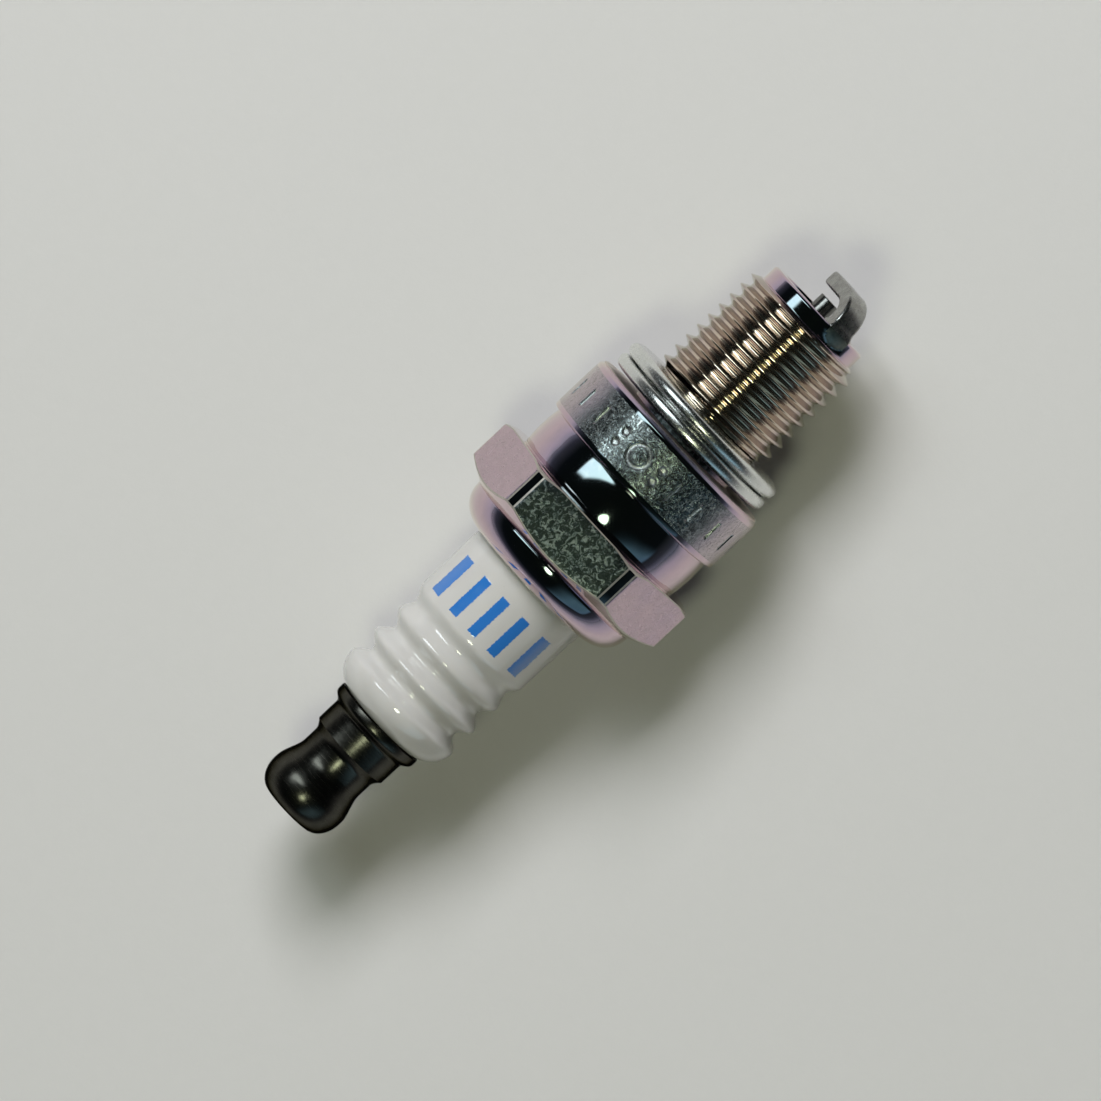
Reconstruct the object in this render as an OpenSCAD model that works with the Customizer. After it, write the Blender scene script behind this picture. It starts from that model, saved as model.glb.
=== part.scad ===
// Compact M10 resistor spark plug with a gasket seat, lying on one flat of its hexagon.
// The plug's axis is the X axis, and +X points to the sparking end.
// X = 0 is the seating plane, where the gasket's far face meets the cylinder head.
// The modules count x from the shell's own seat face, where the thread's reach starts,
// and on_head() then moves each piece on to the seating plane.
// Sizes are in millimetres. Lathe outlines are lists of [radius, x] points.

/* [Thread] */
// Outside diameter of the thread
thread_d = 9.9; // [9.8:0.02:10]
// Pitch of the thread
pitch = 1.0; // [0.9:0.05:1.1]
// Length of the shell beyond its seat face
reach = 12.7; // [12.5:0.1:13.5]
// Full crests on the thread
crests = 8; // [7:1:8]

/* [Shell] */
// Width of the hexagon across its flats
hex_af = 15.8; // [15.6:0.05:16.2]
// Diameter that the hexagon's corners are rounded to
hex_corner_d = 17.7; // [17:0.1:18]
// Length of the hexagon
hex_h = 4.17; // [3.8:0.1:5]
// Diameter of the thin neck between the hexagon and the collar
neck_d = 14.3; // [14.1:0.1:14.6]
// Length of the neck
neck_h = 3.11; // [2.8:0.1:3.6]
// Diameter of the collar over the seat
collar_d = 15.15; // [14.8:0.05:15.4]
// Length of the collar
collar_h = 4.42; // [4:0.1:5]
// Diameter of the lip that is crimped over the packing
lip_d = 14.5; // [14.2:0.1:14.6]
// Height of the crimped lip over the hexagon
lip_h = 2.15; // [2:0.05:2.4]
// Diameter of the unthreaded end ring
end_ring_d = 8.35; // [8.2:0.05:8.6]

/* [Gasket] */
// Outside diameter of the crush gasket
gasket_od = 13.85; // [13.4:0.05:14.2]
// Inside diameter of the crush gasket, smaller than the thread so that it stays on
gasket_id = 9.5; // [9.3:0.05:9.6]
// Thickness of the uncrushed gasket
gasket_h = 2.06; // [1.9:0.02:2.1]
// Gap between the gasket and the seat as it lies
gasket_gap = 0.46; // [0.4:0.02:0.5]

/* [Insulator] */
// Height of the insulator over the crimped lip
insulator_h = 13.83; // [13:0.1:15]
// Diameter of the insulator over its ribs
insulator_d = 9.74; // [9.6:0.02:9.8]
// Distance from one rib to the next
rib_pitch = 2.15; // [2:0.05:2.2]
// Depth of the grooves between the ribs
rib_depth = 0.85; // [0.4:0.05:1]

/* [Terminal] */
// Height of the terminal over the insulator
terminal_h = 8.6; // [8.4:0.1:9.4]
// Diameter of the terminal's head, which a plug cap snaps on to
head_d = 6.3; // [6.2:0.05:6.4]
// Diameter of the waist behind the head
waist_d = 5.26; // [5:0.05:5.5]
// Diameter of the flange that rests on the insulator
flange_d = 7.2; // [6.8:0.1:7.4]

/* [Electrodes] */
// Diameter of the centre electrode's tip
tip_d = 1.5; // [1.2:0.05:1.8]
// Length of the centre electrode beyond the shell
tip_h = 0.95; // [0.8:0.05:1.2]
// Gap that the spark jumps
spark_gap = 0.61; // [0.5:0.02:0.9]
// Thickness of the ground electrode
strap_t = 1.1; // [1:0.02:1.2]
// Width of the ground electrode
strap_w = 1.9; // [1.7:0.1:2.4]
// Turn of the ground electrode round the axis, from +Z towards -Y
strap_turn = 33; // [0:1:360]

/* [Hidden] */
$fn = 96;
cut = 1;                                // how far a cutting solid runs past what it cuts
slip = 0.01;                            // clearance between pieces that are pressed or fired together

// Stations along the axis, from the shell's seat face
gasket_far_x = gasket_gap + gasket_h;
collar_x = -collar_h;
neck_x = collar_x - neck_h;
hex_x = neck_x - hex_h;
lip_x = hex_x - lip_h;
insulator_x = lip_x - insulator_h;
terminal_x = insulator_x - terminal_h;
tip_x = reach + tip_h;
strap_x = tip_x + spark_gap;

// Thread
crest_r = thread_d / 2;
crest_flat = pitch / 8;
thread_depth = 0.5625 * pitch;
root_r = crest_r - thread_depth;
relief_r = root_r - 0.04;               // plain neck between the seat and the first thread
first_crest_x = 3.12;
runout_depth = 0.55 * thread_depth;     // height of the last, fading crest

// Shell
hex_r = hex_af / 2 / cos(30);
corner_r = hex_corner_d / 2;
chamfer_r = 7.3;                        // where the hexagon's 33 degree chamfer starts
chamfer_slope = 0.65;
foot_cut = 0.25;                        // small chamfer on the hexagon's other end
seat_cut = 0.3;                         // chamfer round the seat face
lip_arc_x = hex_x - 0.4;                // the lip bends over from here
lip_hole_r = 5.1;
lip_wall = 0.8;
bore_r = 6.35;                          // round the talc and the insulator's thick part
stem_bore_r = 3.35;
ledge_bore_r = 2.75;
nose_bore_r = 3.15;
bore_end_x = -2.6;
ledge_x = 4.85;                         // the ledge that the insulator is pressed on to
end_ring_r = end_ring_d / 2;
end_ring_h = 1.3;

// Insulator
insulator_r = insulator_d / 2;
throat_r = 4.95;                        // where it passes through the crimped lip
top_round = 1.98;
first_rib_x = insulator_x + top_round;
ribs = 3;
thick_r = 6.25;
thick_x = -8.1;
thick_slope_h = 0.8;
stem_r = 3.2;
stem_x = -1.6;
seat_r = 2.55;                          // below the seat cone, which rests on the packing
seat_x = 4.3;
nose_tip_r = 1.75;
nose_tip_x = reach - 0.6;
core_bore_r = 1.75;                     // for the stud, the seals and the resistor
head_seat_x = -2;
rod_bore_r = 1.12;                      // for the centre electrode

// Stud, seals and resistor inside the insulator
stud_r = 1.62;
stud_root_r = 1.42;
stud_end_x = -13;
grip_rings = 3;
grip_pitch = 0.8;
upper_seal_x = stud_end_x - 2.6;
resistor_x = -11.4;
resistor_h = 6.4;
seal_r = core_bore_r - slip;

// Centre electrode
rod_r = 1.05;
rod_head_r = 1.55;
rod_head_x = -2.9;
rod_end_x = reach - 1;
copper_r = 0.55;
copper_end_x = rod_end_x - 0.9;

// Packing round the insulator
ring_r = 0.58;
ring_centre_r = 5.66;
upper_ring_x = lip_arc_x;
lower_ring_x = thick_x - 1.08;

// Ground electrode
strap_out_r = 3.98;                     // its outer face, and the flat trimmed on the end ring
strap_bend_r = 1.2;                     // inside radius of the bend
strap_past = 0.9;                       // how far it reaches past the axis
trim_h = 1.05;                          // length of the flat trimmed on the end ring

// Points along an ellipse round [radius, x], from angle a to angle b
function bow(centre, size, a, b, steps = 8) =
    [for (i = [0:steps]) let (t = a + (b - a) * i / steps)
        [centre[0] + size[0] * cos(t), centre[1] + size[1] * sin(t)]];

// One 60 degree thread ridge, as high as depth
function ridge(x, depth) =
    [[root_r, x - crest_flat / 2 - depth * tan(30)],
     [root_r + depth, x - crest_flat / 2],
     [root_r + depth, x + crest_flat / 2],
     [root_r, x + crest_flat / 2 + depth * tan(30)]];

// Depth of the rib grooves at a distance s past the first rib's crest
function groove(s) = (s < 2 * rib_pitch ? rib_depth : 0.55 * rib_depth) * (1 - cos(360 * s / rib_pitch)) / 2;

// The end of the stud, with the rings that lock it in the glass
function stud_grip() =
    concat(
        [for (i = [0:grip_rings - 1]) let (x = stud_end_x - 0.4 - (grip_rings - i) * grip_pitch)
            each [[stud_r, x], [stud_r, x + 0.4], [stud_root_r, x + 0.55], [stud_root_r, x + 0.7]]],
        [[stud_root_r, stud_end_x - 0.4], [1, stud_end_x], [0, stud_end_x]]);

// Moves a piece from the shell's seat face on to the seating plane
module on_head() {
    translate([-gasket_far_x, 0, 0])
        children();
}

// Turns an outline of [radius, x] points round the X axis
module lathe(outline) {
    rotate([0, 90, 0])
        rotate_extrude()
            polygon(outline);
}

// A wire ring round the X axis
module wire_ring(x) {
    rotate([0, 90, 0])
        rotate_extrude()
            translate([ring_centre_r, x])
                circle(r = ring_r);
}

// Hexagonal bar with two flats square to Z, its corners and ends turned back
module hexagon() {
    intersection() {
        translate([hex_x, 0, 0])
            rotate([0, 90, 0])
                rotate([0, 0, 30])
                    cylinder(r = hex_r, h = hex_h, $fn = 6);
        lathe([
            [0, hex_x],
            [chamfer_r, hex_x],
            [corner_r, hex_x + (corner_r - chamfer_r) * chamfer_slope],
            [corner_r, neck_x - foot_cut],
            [corner_r - 2.2 * foot_cut, neck_x],
            [0, neck_x]]);
    }
}

// Everything of the shell that is turned: lip, neck, collar, relief, thread and end ring
module turned_body() {
    lathe(concat(
        [[0, lip_x], [lip_hole_r, lip_x]],
        bow([lip_hole_r, lip_arc_x], [lip_d / 2 - lip_hole_r, lip_arc_x - lip_x], -80, 0),
        [[lip_d / 2, hex_x + cut], [neck_d / 2 - 0.1, hex_x + 2 * cut]],
        [[neck_d / 2 - 0.1, neck_x + 0.2], [neck_d / 2, neck_x + neck_h / 2]],
        [[neck_d / 2 - 0.1, collar_x]],
        [[collar_d / 2, collar_x], [collar_d / 2, -seat_cut], [collar_d / 2 - seat_cut, 0]],
        [[relief_r, 0], [relief_r, first_crest_x - 0.5 * pitch]],
        [for (i = [0:crests - 1]) each ridge(first_crest_x + i * pitch, thread_depth)],
        ridge(first_crest_x + crests * pitch, runout_depth),
        [[root_r, reach - end_ring_h - 0.05], [end_ring_r, reach - end_ring_h + 0.1]],
        [[end_ring_r, reach - 0.12], [end_ring_r - 0.12, reach], [0, reach]]));
}

// The hollow that holds the insulator and its packing, open at both ends
module shell_hollow() {
    lathe(concat(
        [[0, lip_x - cut], [lip_hole_r, lip_x - cut]],
        bow([lip_hole_r, lip_arc_x], [bore_r - lip_hole_r, lip_arc_x - lip_x - lip_wall], -90, 0),
        [[bore_r, bore_end_x], [stem_bore_r, bore_end_x + 1.6]],
        [[stem_bore_r, ledge_x], [ledge_bore_r, ledge_x + stem_bore_r - ledge_bore_r]],
        [[ledge_bore_r, ledge_x + 1.8], [nose_bore_r, ledge_x + 2.2]],
        [[nose_bore_r, reach + cut], [0, reach + cut]]));
}

// The flat left on the end ring where the ground electrode's weld is trimmed
module weld_trim() {
    rotate([strap_turn, 0, 0])
        translate([reach - trim_h, -end_ring_r, strap_out_r])
            cube([trim_h + cut, 2 * end_ring_r, end_ring_r]);
}

module metal_shell() {
    color("silver")
        difference() {
            union() {
                hexagon();
                turned_body();
            }
            shell_hollow();
            weld_trim();
        }
}

// Folded ring with two lobes on its rim and a flat face towards the thread
module sealing_gasket() {
    near_x = gasket_gap;
    far_x = gasket_far_x;
    fold_x = gasket_gap + 0.47 * gasket_h;
    rim_r = gasket_od / 2;
    hole_r = gasket_id / 2;
    near_lobe = [0.625, (fold_x - near_x) / 2];
    far_lobe = [0.82, (far_x - fold_x) / 2];
    inner_round = [0.3, 0.3];
    color("gainsboro")
        lathe(concat(
            bow([hole_r + inner_round[0], near_x + inner_round[1]], inner_round, 180, 270, 4),
            bow([rim_r - near_lobe[0], near_x + near_lobe[1]], near_lobe, -90, 50),
            [[rim_r - 0.42, fold_x]],
            bow([rim_r - far_lobe[0], far_x - far_lobe[1]], far_lobe, -50, 90),
            bow([hole_r + inner_round[0], far_x - inner_round[1]], inner_round, 90, 180, 4)));
}

// Flat strap that rises from the end ring and bends over the centre electrode
module ground_electrode() {
    leg_r = strap_out_r - strap_t;
    bend_x = strap_x - strap_bend_r;
    bend_r = leg_r - strap_bend_r;
    outline = concat(
        [[reach, leg_r]],
        [for (i = [0:12]) let (t = 90 - 7.5 * i)
            [bend_x + strap_bend_r * cos(t), bend_r + strap_bend_r * sin(t)]],
        [[strap_x, -strap_past], [strap_x + strap_t, -strap_past]],
        [for (i = [0:12]) let (t = 7.5 * i)
            [bend_x + (strap_bend_r + strap_t) * cos(t), bend_r + (strap_bend_r + strap_t) * sin(t)]],
        [[reach, strap_out_r]]);
    color("darkgray")
        rotate([strap_turn, 0, 0])
            rotate([90, 0, 0])
                translate([0, 0, -strap_w / 2])
                    linear_extrude(strap_w)
                        polygon(outline);
}

// One fired ceramic: ribbed top, thick part in the shell, stem, seat cone and nose
module insulator() {
    rib_run = (ribs - 0.5) * rib_pitch;
    rib_steps = 30;
    body_x = first_rib_x + ribs * rib_pitch;
    color("white")
        difference() {
            lathe(concat(
                [[0, insulator_x]],
                bow([insulator_r - top_round, first_rib_x], [top_round, top_round], -90, 0, 10),
                [for (i = [1:rib_steps]) let (s = rib_run * i / rib_steps)
                    [insulator_r - groove(s), first_rib_x + s]],
                bow([insulator_r - 0.45, body_x + 0.1], [0.45, 0.75], -70, 0, 5),
                [[throat_r, lip_x], [throat_r - 0.01, thick_x - thick_slope_h], [thick_r, thick_x]],
                [[thick_r, stem_x - 1.6], [stem_r, stem_x], [stem_r, seat_x]],
                [[seat_r, seat_x + stem_r - seat_r], [nose_tip_r, nose_tip_x - 0.3]],
                bow([nose_tip_r - 0.3, nose_tip_x - 0.3], [0.3, 0.3], 0, 90, 4),
                [[0, nose_tip_x]]));
            lathe([
                [0, insulator_x - cut], [core_bore_r, insulator_x - cut],
                [core_bore_r, head_seat_x], [rod_bore_r, head_seat_x + core_bore_r - rod_bore_r],
                [rod_bore_r, nose_tip_x + cut], [0, nose_tip_x + cut]]);
        }
}

// One turned piece: push-fit head, waist, base and flange, with a stud down into the insulator
module terminal_post() {
    head_r = head_d / 2;
    waist_r = waist_d / 2;
    base_r = 3.05;
    head_x = terminal_x + 1.55;
    land_h = 0.9;
    waist_x = terminal_x + 4.4;
    waist_h = 0.7;
    base_x = waist_x + waist_h + 0.75;
    flange_x = insulator_x - 0.85;
    color("dimgray")
        lathe(concat(
            [[0, terminal_x]],
            bow([head_r - 1.3, head_x], [1.3, head_x - terminal_x], -90, 0),
            [for (i = [0:8]) let (t = i / 8)
                [head_r - (head_r - waist_r) * (1 - cos(180 * t)) / 2,
                 head_x + land_h + (waist_x - head_x - land_h) * t]],
            [for (i = [0:6]) let (t = i / 6)
                [waist_r + (base_r - waist_r) * (1 - cos(90 * t)), waist_x + waist_h + 0.75 * t]],
            [[base_r, flange_x - 0.25]],
            bow([flange_d / 2, flange_x - 0.25], [flange_d / 2 - base_r, 0.25], 180, 120, 3),
            bow([flange_d / 2 - 0.3, flange_x + 0.3], [0.3, 0.3], -90, 0, 4),
            [[flange_d / 2, insulator_x - 0.2], [flange_d / 2 - 0.2, insulator_x]],
            [[stud_r, insulator_x]],
            stud_grip()));
}

// Conductive glass fired round the end of the stud
module upper_glass_seal() {
    color("dimgray")
        difference() {
            lathe([[0, upper_seal_x], [seal_r, upper_seal_x], [seal_r, resistor_x], [0, resistor_x]]);
            lathe(concat([[0, upper_seal_x - cut], [stud_r, upper_seal_x - cut]], stud_grip()));
        }
}

module resistor() {
    resistor_end_x = resistor_x + resistor_h;
    color("saddlebrown")
        lathe([[0, resistor_x], [seal_r, resistor_x], [seal_r, resistor_end_x], [0, resistor_end_x]]);
}

// Conductive glass fired round the head of the centre electrode
module lower_glass_seal() {
    resistor_end_x = resistor_x + resistor_h;
    color("dimgray")
        lathe([
            [0, resistor_end_x], [seal_r, resistor_end_x], [seal_r, head_seat_x],
            [rod_head_r, head_seat_x], [rod_head_r, rod_head_x], [0, rod_head_x]]);
}

// Nickel rod with a seated head and a drilled heart for the copper
module center_electrode() {
    color("lightslategray")
        lathe([
            [copper_r, rod_head_x], [rod_head_r, rod_head_x], [rod_head_r, head_seat_x + 0.15],
            [rod_r, head_seat_x + 0.65], [rod_r, rod_end_x], [tip_d / 2, rod_end_x + 0.5],
            [tip_d / 2, tip_x - 0.06], [tip_d / 2 - 0.06, tip_x], [0, tip_x],
            [0, copper_end_x], [copper_r, copper_end_x]]);
}

module center_electrode_core() {
    color("peru")
        lathe([[0, rod_head_x], [copper_r, rod_head_x], [copper_r, copper_end_x], [0, copper_end_x]]);
}

module upper_packing_ring() {
    color("slategray")
        wire_ring(upper_ring_x);
}

// Pressed powder between the two packing rings
module talc_filling() {
    near_x = upper_ring_x + ring_r + slip;
    far_x = lower_ring_x - ring_r - slip;
    color("linen")
        lathe([
            [throat_r + slip, near_x], [bore_r - slip, near_x],
            [bore_r - slip, far_x], [throat_r + slip, far_x]]);
}

module lower_packing_ring() {
    color("slategray")
        wire_ring(lower_ring_x);
}

// Thin steel cone between the insulator's seat and the shell's ledge
module seat_packing() {
    near_sum = seat_x + stem_r + slip;
    far_sum = ledge_x + stem_bore_r - slip;
    inner_r = ledge_bore_r;
    outer_r = stem_bore_r - 0.05;
    color("slategray")
        lathe([
            [inner_r, near_sum - inner_r], [stem_r, near_sum - stem_r], [outer_r, near_sum - stem_r],
            [outer_r, far_sum - outer_r], [inner_r + 0.1, far_sum - inner_r - 0.1],
            [inner_r, far_sum - inner_r - 0.1]]);
}

on_head() metal_shell();
on_head() sealing_gasket();
on_head() ground_electrode();
on_head() insulator();
on_head() terminal_post();
on_head() upper_glass_seal();
on_head() resistor();
on_head() lower_glass_seal();
on_head() center_electrode();
on_head() center_electrode_core();
on_head() upper_packing_ring();
on_head() talc_filling();
on_head() lower_packing_ring();
on_head() seat_packing();
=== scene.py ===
"""The looks of a compact spark plug: fine meshes and materials round its CAD frame, on a pale table.

Outlines are in millimetres: x runs along the plug's axis from the shell's seat face towards the sparking end,
and r is the distance from the axis. Angles round the axis start at +Y and turn towards +Z.
"""

import math

import bpy
import numpy as np
from mathutils import Matrix, Vector


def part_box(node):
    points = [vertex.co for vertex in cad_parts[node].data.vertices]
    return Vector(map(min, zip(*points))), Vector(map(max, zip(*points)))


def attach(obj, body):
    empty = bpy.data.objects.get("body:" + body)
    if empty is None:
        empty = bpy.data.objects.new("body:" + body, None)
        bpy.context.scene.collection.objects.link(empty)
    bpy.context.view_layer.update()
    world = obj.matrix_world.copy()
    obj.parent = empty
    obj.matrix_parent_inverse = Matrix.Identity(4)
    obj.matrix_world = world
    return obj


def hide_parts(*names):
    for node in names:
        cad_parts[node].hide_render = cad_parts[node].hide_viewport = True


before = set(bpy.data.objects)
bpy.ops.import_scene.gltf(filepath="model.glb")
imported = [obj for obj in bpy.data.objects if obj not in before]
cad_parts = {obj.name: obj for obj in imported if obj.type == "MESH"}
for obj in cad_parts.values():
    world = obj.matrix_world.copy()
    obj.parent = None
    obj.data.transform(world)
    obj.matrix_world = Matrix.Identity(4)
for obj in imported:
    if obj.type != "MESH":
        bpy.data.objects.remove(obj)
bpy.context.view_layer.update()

MM = 0.001
TURN = 2 * math.pi

# Driving sizes, in millimetres
REACH = 12.7
PITCH = 1.0
CREST_R = 4.95
ROOT_R = 4.3875
RELIEF_R = 4.3475
FIRST_CREST_X = 3.12
COLLAR_X = -4.42
NECK_X = COLLAR_X - 3.11
HEX_X = NECK_X - 4.17
LIP_X = HEX_X - 2.15
INSULATOR_X = LIP_X - 13.83
TERMINAL_X = INSULATOR_X - 8.6
HEX_APOTHEM = 7.9
HEX_CORNER_R = 8.85
LIP_R = 7.25
LIP_HOLE_R = 5.1
COLLAR_R = 7.575
END_RING_R = 4.175
STRAP_ANGLE = math.radians(123)
STRAP_OUT_R = 3.98
STRAP_T = 1.1
STRAP_W = 1.9
TIP_X = REACH + 0.95
STRAP_X = TIP_X + 0.61

SHARP_EDGE = math.radians(32)
SEAT_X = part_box("metal_shell")[1].x / MM - REACH


# ---------------------------------------------------------------- mesh helpers

def placed(x, y, z):
    """A point given from the shell's seat face in millimetres, in the frame's metres."""
    return ((x + SEAT_X) * MM, y * MM, z * MM)


def smooth_min(a, b, blend):
    """The smaller of a and b, with a rounded change from one to the other."""
    near = np.maximum(blend - np.abs(a - b), 0) / blend
    return np.minimum(a, b) - near * near * blend / 4


def smooth_max(a, b, blend):
    """The larger of a and b, with a rounded change from one to the other."""
    return -smooth_min(-a, -b, blend)


def smooth_step(low, high, value):
    """0 below low and 1 above high, with a soft rise between them."""
    t = np.clip((value - low) / (high - low), 0, 1)
    return t * t * (3 - 2 * t)


def curve_through(start, corner, end, steps):
    """Points on a parabola that rounds the corner between start and end."""
    found = []
    for i in range(steps + 1):
        t = i / steps
        a, b, c = (1 - t) ** 2, 2 * t * (1 - t), t * t
        found.append(tuple(a * p + b * q + c * s for p, q, s in zip(start, corner, end)))
    return found


def arc(centre, size, start, end, steps, power=1.0):
    """Points (x, r) on an ellipse: r is largest at 0 degrees, x at 90; a power under 1 squares the curve."""
    found = []
    for t in np.radians(np.linspace(start, end, steps + 1)):
        x = math.copysign(abs(math.sin(t)) ** power, math.sin(t))
        r = math.copysign(abs(math.cos(t)) ** power, math.cos(t))
        found.append((centre[0] + size[0] * x, centre[1] + size[1] * r))
    return found


def outline(*corners, steps=4):
    """Points (x, r) along straight lines between corners (x, r, rounding); the two ends stay sharp."""
    found = []
    for i, (x, r, rounding) in enumerate(corners):
        if rounding == 0 or i in (0, len(corners) - 1):
            found.append((x, r))
            continue
        here = Vector((x, r))
        back = (Vector(corners[i - 1][:2]) - here).normalized() * rounding
        ahead = (Vector(corners[i + 1][:2]) - here).normalized() * rounding
        found += curve_through(here + back, here, here + ahead, steps)
    return found


class Skin:
    """Rings of points round the plug's axis and the faces between them."""

    def __init__(self):
        self.points = []
        self.faces = []
        self.slots = []
        self.slot = 0

    def add_face(self, *corners):
        self.faces.append(tuple(int(c) for c in corners))
        self.slots.append(self.slot)

    def add_points(self, points):
        first = len(self.points)
        self.points += points
        return np.arange(first, len(self.points))

    def ring(self, columns, x, r):
        """A ring; x and r are numbers, or arrays with one value for each column."""
        angle = np.arange(columns) * TURN / columns
        xs = np.broadcast_to(x, columns)
        rs = np.broadcast_to(r, columns)
        return self.add_points([placed(*p) for p in zip(xs, rs * np.cos(angle), rs * np.sin(angle))])

    def pole(self, x):
        return self.add_points([placed(x, 0, 0)])

    def link(self, a, b):
        """Faces between two rings, which may have different numbers of points."""
        na, nb = len(a), len(b)
        if na == nb:
            for i in range(na):
                self.add_face(a[i], a[(i + 1) % na], b[(i + 1) % nb], b[i])
            return
        if nb == 1:
            for i in range(na):
                self.add_face(a[i], a[(i + 1) % na], b[0])
            return
        if na == 1:
            for i in range(nb):
                self.add_face(a[0], b[(i + 1) % nb], b[i])
            return
        i = j = 0
        while i < na or j < nb:
            if j == nb or (i < na and (i + 1) * nb <= (j + 1) * na):
                self.add_face(a[i % na], a[(i + 1) % na], b[j % nb])
                i += 1
            else:
                self.add_face(a[i % na], b[(j + 1) % nb], b[j % nb])
                j += 1

    def run(self, last, points, columns):
        """Rings along (x, r) points, joined on from ring last; r of 0 is a pole."""
        for x, r in points:
            size = np.max(np.asarray(r))
            new = self.pole(float(np.mean(x))) if size == 0 else self.ring(columns, x, r)
            if last is not None:
                self.link(last, new)
            last = new
        return last

    def repaint(self, rows, slots):
        """Gives the last rows of faces their slots, one for each column."""
        self.slots[-rows * len(slots):] = list(slots) * rows

    def helix(self, x_start, x_end, columns, per_pitch, radius):
        """A threaded stretch: the stations follow the helix, between two flat rings."""
        step = PITCH / per_pitch
        block = columns // per_pitch
        count = int((x_end - x_start) / step)
        angle = np.arange(columns) * TURN / columns
        first = self.ring(columns, x_start, radius(x_start, angle))
        rows = []
        for j in range(columns):
            x = x_start + (np.arange(count) + (j % block + 0.5) / block) * step
            r = radius(x, angle[j])
            rows.append(self.add_points([
                placed(*p) for p in zip(x, r * math.cos(angle[j]), r * math.sin(angle[j]))]))
        last = self.ring(columns, x_end, radius(x_end, angle))
        for j in range(columns):
            k = (j + 1) % columns
            here, there = rows[j], rows[k]
            self.add_face(first[j], first[k], there[0], here[0])
            self.add_face(here[-1], there[-1], last[k], last[j])
            if (j + 1) % block:
                for i in range(count - 1):
                    self.add_face(here[i], there[i], there[i + 1], here[i + 1])
            else:
                self.add_face(here[0], there[0], there[1])
                self.add_face(here[-2], there[-1], here[-1])
                for i in range(count - 2):
                    self.add_face(here[i], there[i + 1], there[i + 2], here[i + 1])
        return first, last

    def build(self, name, body, node, materials):
        """The finished piece: it stands for a CAD node and rides on that node's body."""
        mesh = bpy.data.meshes.new(name)
        mesh.from_pydata(self.points, [], self.faces)
        for material in materials:
            mesh.materials.append(material)
        mesh.polygons.foreach_set("material_index", self.slots)
        mesh.validate()
        mesh.shade_smooth()
        mesh.set_sharp_from_angle(angle=SHARP_EDGE)
        piece = bpy.data.objects.new(name, mesh)
        bpy.context.scene.collection.objects.link(piece)
        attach(piece, body)
        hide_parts(node)


# ---------------------------------------------------------------- material helpers

class Graph:
    """Short calls for the nodes that materials and the room share."""

    def __init__(self, tree):
        self.tree = tree

    def node(self, kind, **settings):
        made = self.tree.nodes.new(kind)
        for key, value in settings.items():
            setattr(made, key, value)
        return made

    def join(self, source, target):
        self.tree.links.new(source, target)

    def feed(self, socket, value):
        if isinstance(value, bpy.types.NodeSocket):
            self.join(value, socket)
        else:
            socket.default_value = value

    def vector(self, operation, a, b=None, scale=None):
        made = self.node("ShaderNodeVectorMath", operation=operation)
        self.feed(made.inputs[0], a)
        if b is not None:
            self.feed(made.inputs[1], b)
        if scale is not None:
            made.inputs["Scale"].default_value = scale
        return made.outputs["Vector"]

    def math(self, operation, a, b=0.0, c=0.0):
        made = self.node("ShaderNodeMath", operation=operation)
        for socket, value in zip(made.inputs, (a, b, c)):
            self.feed(socket, value)
        return made.outputs[0]

    def stretch(self, value, low, high, to_low=0.0, to_high=1.0, smooth=False):
        made = self.node("ShaderNodeMapRange")
        if smooth:
            made.interpolation_type = "SMOOTHSTEP"
        for socket, number in zip(made.inputs, (value, low, high, to_low, to_high)):
            self.feed(socket, number)
        return made.outputs[0]

    def ramp(self, value, *stops):
        made = self.node("ShaderNodeValToRGB")
        elements = made.color_ramp.elements
        while len(elements) < len(stops):
            elements.new(0.5)
        for element, (place, colour) in zip(elements, stops):
            element.position = place
            element.color = (*colour, 1)
        self.feed(made.inputs["Fac"], value)
        return made.outputs["Color"]

    def mix(self, share, a, b):
        made = self.node("ShaderNodeMix", data_type="RGBA", blend_type="MIX")
        self.feed(made.inputs["Factor"], share)
        for key, value in (("A", a), ("B", b)):
            socket = next(s for s in made.inputs if s.name == key and s.type == "RGBA")
            self.feed(socket, (*value, 1) if isinstance(value, tuple) else value)
        return next(s for s in made.outputs if s.type == "RGBA")

    def parts(self, vector):
        made = self.node("ShaderNodeSeparateXYZ")
        self.join(vector, made.inputs[0])
        return made.outputs


class Paint(Graph):
    """A node material."""

    def __init__(self, name):
        self.material = bpy.data.materials.new(name)
        self.material.use_nodes = True
        super().__init__(self.material.node_tree)
        self.shader = self.tree.nodes["Principled BSDF"]
        coordinates = self.node("ShaderNodeTexCoord")
        self.here = self.vector("SCALE", coordinates.outputs["Object"], scale=1 / MM)

    def noise(self, scale, detail=3.0, roughness=0.55, squeeze=(1, 1, 1), twist=0.0, where=None):
        """Noise with scale bumps to a millimetre, drawn out along an axis by a small squeeze."""
        made = self.node("ShaderNodeTexNoise")
        made.inputs["Scale"].default_value = scale
        made.inputs["Detail"].default_value = detail
        made.inputs["Roughness"].default_value = roughness
        made.inputs["Distortion"].default_value = twist
        self.join(self.vector("MULTIPLY", where or self.here, squeeze), made.inputs["Vector"])
        return made.outputs["Fac"]

    def bump(self, height, depth):
        """Shallow relief; depth is in millimetres."""
        made = self.node("ShaderNodeBump")
        made.inputs["Distance"].default_value = depth * MM
        made.inputs["Strength"].default_value = 1.0
        self.join(height, made.inputs["Height"])
        earlier = self.shader.inputs["Normal"].links
        if earlier:
            self.join(earlier[0].from_socket, made.inputs["Normal"])
        self.join(made.outputs[0], self.shader.inputs["Normal"])

    def set(self, **values):
        for key, value in values.items():
            name = key.replace("_", " ").title().replace("Ior", "IOR")
            if isinstance(value, tuple):
                value = (*value, 1)
            self.feed(self.shader.inputs[name], value)


# ---------------------------------------------------------------- materials

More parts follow.
